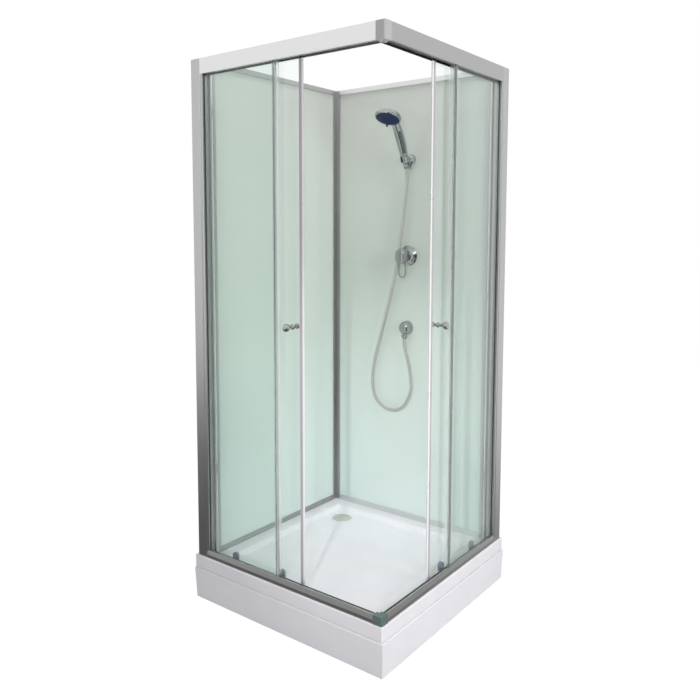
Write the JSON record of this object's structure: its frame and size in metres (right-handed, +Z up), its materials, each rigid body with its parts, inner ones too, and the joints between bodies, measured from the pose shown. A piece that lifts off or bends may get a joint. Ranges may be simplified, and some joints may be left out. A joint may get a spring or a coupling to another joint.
{
  "type": "shower cabin",
  "caption": "Square corner-entry shower cabin: low tray on feet, coloured glass back walls, fixed clear panes, sliding doors on wheels, and a wall mixer with hand shower and hose",
  "frame": {"origin": "centre of the tray's outline, on the floor", "axes": "+Z up; the front-left side faces -Y, the front-right side faces +X; the doors meet at the corner (+X, -Y); the back walls stand at -X and +Y"},
  "size_m": [0.9065, 0.9065, 2.09],
  "materials": {
    "white_acrylic": "glossy white acrylic",
    "steel_tube": "painted steel tube",
    "black_plastic": "matte black plastic",
    "zinc_steel": "zinc-plated steel",
    "drain_grey": "beige-grey plastic",
    "satin_aluminium": "satin anodised aluminium",
    "dark_rubber": "dark rubber",
    "connector_plastic": "satin grey plastic",
    "dark_connector_plastic": "dark green-grey plastic",
    "wall_glass": "pale green-white coloured glass",
    "clear_glass": "clear safety glass",
    "clear_seal": "translucent soft plastic",
    "roller_plastic": "slate grey plastic",
    "chrome": "polished chrome",
    "valve_brass": "cast brass",
    "navy_plastic": "dark navy plastic"
  },
  "bodies": {
    "cabin": {"shower_tray": "white_acrylic", "tray_skirt": "white_acrylic", "tray_support_frame": "steel_tube", "levelling_feet": "black_plastic", "foot_lock_nuts": "zinc_steel", "drain_flange": "white_acrylic", "drain_trap": "black_plastic", "left_post": "satin_aluminium", "right_post": "satin_aluminium", "left_glazing_channel": "satin_aluminium", "right_glazing_channel": "satin_aluminium", "glazing_gaskets": "dark_rubber", "left_top_rail": "satin_aluminium", "right_top_rail": "satin_aluminium", "left_bottom_rail": "satin_aluminium", "right_bottom_rail": "satin_aluminium", "top_corner_connector": "connector_plastic", "bottom_corner_connector": "dark_connector_plastic", "back_corner_post": "satin_aluminium", "left_wall_bottom_rail": "satin_aluminium", "right_wall_bottom_rail": "satin_aluminium", "left_wall_top_rail": "satin_aluminium", "right_wall_top_rail": "satin_aluminium", "left_wall_panel": "wall_glass", "right_wall_panel": "wall_glass", "left_fixed_glass": "clear_glass", "right_fixed_glass": "clear_glass", "fixed_seals": "clear_seal", "mixer_plate": "chrome", "mixer_valve": "valve_brass", "wall_outlet": "chrome", "outlet_back_nut": "valve_brass", "shower_bracket": "chrome", "hose_bottom_nut": "chrome", "shower_hose": "chrome"},
    "left_door": {"left_door_glass": "clear_glass", "left_magnet_seal": "clear_seal", "left_knob": "chrome", "left_top_roller_studs": "zinc_steel", "left_bottom_roller_blocks": "roller_plastic"},
    "right_door": {"right_door_glass": "clear_glass", "right_magnet_seal": "clear_seal", "right_knob": "chrome", "right_top_roller_studs": "zinc_steel", "right_bottom_roller_blocks": "roller_plastic"},
    "left_top_front_wheel": {"left_top_front_wheel": "roller_plastic"},
    "left_top_rear_wheel": {"left_top_rear_wheel": "roller_plastic"},
    "left_bottom_front_wheel": {"left_bottom_front_wheel": "roller_plastic"},
    "left_bottom_rear_wheel": {"left_bottom_rear_wheel": "roller_plastic"},
    "right_top_front_wheel": {"right_top_front_wheel": "roller_plastic"},
    "right_top_rear_wheel": {"right_top_rear_wheel": "roller_plastic"},
    "right_bottom_front_wheel": {"right_bottom_front_wheel": "roller_plastic"},
    "right_bottom_rear_wheel": {"right_bottom_rear_wheel": "roller_plastic"},
    "mixer_core": {"mixer_cartridge": "chrome"},
    "mixer_lever": {"mixer_handle": "chrome"},
    "hand_shower": {"hand_shower": "chrome", "hose_top_nut": "chrome"},
    "spray_face": {"spray_face": "navy_plastic"},
    "drain_cap": {"drain_cap": "drain_grey"}
  },
  "joints": [
    {"name": "left_door_slide", "type": "slide", "parent": "cabin", "child": "left_door", "axis": [1, 0, 0], "range_m": [-0.026, 0.3187]},
    {"name": "right_door_slide", "type": "slide", "parent": "cabin", "child": "right_door", "axis": [0, -1, 0], "range_m": [-0.042, 0.3027]},
    {"name": "left_top_front_wheel_roll", "type": "hinge", "parent": "left_door", "child": "left_top_front_wheel", "pos_m": [0.016, -0.39925, 2.0573], "axis": [0, 1, 0], "continuous": true},
    {"name": "left_top_rear_wheel_roll", "type": "hinge", "parent": "left_door", "child": "left_top_rear_wheel", "pos_m": [-0.244, -0.39925, 2.0573], "axis": [0, 1, 0], "continuous": true},
    {"name": "left_bottom_front_wheel_roll", "type": "hinge", "parent": "left_door", "child": "left_bottom_front_wheel", "pos_m": [-0.029, -0.396, 0.1843], "axis": [0, 1, 0], "continuous": true},
    {"name": "left_bottom_rear_wheel_roll", "type": "hinge", "parent": "left_door", "child": "left_bottom_rear_wheel", "pos_m": [-0.266, -0.396, 0.1843], "axis": [0, 1, 0], "continuous": true},
    {"name": "right_top_front_wheel_roll", "type": "hinge", "parent": "right_door", "child": "right_top_front_wheel", "pos_m": [0.39925, -0.032, 2.0573], "axis": [1, 0, 0], "continuous": true},
    {"name": "right_top_rear_wheel_roll", "type": "hinge", "parent": "right_door", "child": "right_top_rear_wheel", "pos_m": [0.39925, 0.228, 2.0573], "axis": [1, 0, 0], "continuous": true},
    {"name": "right_bottom_front_wheel_roll", "type": "hinge", "parent": "right_door", "child": "right_bottom_front_wheel", "pos_m": [0.396, 0.013, 0.1843], "axis": [1, 0, 0], "continuous": true},
    {"name": "right_bottom_rear_wheel_roll", "type": "hinge", "parent": "right_door", "child": "right_bottom_rear_wheel", "pos_m": [0.396, 0.25, 0.1843], "axis": [1, 0, 0], "continuous": true},
    {"name": "mixer_turn", "type": "hinge", "parent": "cabin", "child": "mixer_core", "pos_m": [0.01, 0.363, 1.34387], "axis": [0, -1, 0], "range_deg": [-45, 45]},
    {"name": "mixer_lift", "type": "hinge", "parent": "mixer_core", "child": "mixer_lever", "pos_m": [0.01, 0.363, 1.34387], "axis": [-1, 0, 0], "range_deg": [0, 22]},
    {"name": "hand_shower_lift", "type": "slide", "parent": "cabin", "child": "hand_shower", "axis": [0, -0.309, 0.9511], "range_m": [0, 0.12], "deforming": ["shower_hose"]},
    {"name": "spray_turn", "type": "hinge", "parent": "hand_shower", "child": "spray_face", "pos_m": [0.019, 0.20491, 1.90653], "axis": [0, 0.3746, 0.9272], "range_deg": [0, 60]},
    {"name": "drain_cap_lift", "type": "slide", "parent": "cabin", "child": "drain_cap", "axis": [0, 0, 1], "range_m": [0, 0.06]}
  ],
  "couplings": [
    {"joint": "left_top_front_wheel_roll", "follows": "left_door_slide", "rad_per_m": 100},
    {"joint": "left_top_rear_wheel_roll", "follows": "left_door_slide", "rad_per_m": 100},
    {"joint": "left_bottom_front_wheel_roll", "follows": "left_door_slide", "rad_per_m": 125},
    {"joint": "left_bottom_rear_wheel_roll", "follows": "left_door_slide", "rad_per_m": 125},
    {"joint": "right_top_front_wheel_roll", "follows": "right_door_slide", "rad_per_m": 100},
    {"joint": "right_top_rear_wheel_roll", "follows": "right_door_slide", "rad_per_m": 100},
    {"joint": "right_bottom_front_wheel_roll", "follows": "right_door_slide", "rad_per_m": 125},
    {"joint": "right_bottom_rear_wheel_roll", "follows": "right_door_slide", "rad_per_m": 125}
  ]
}
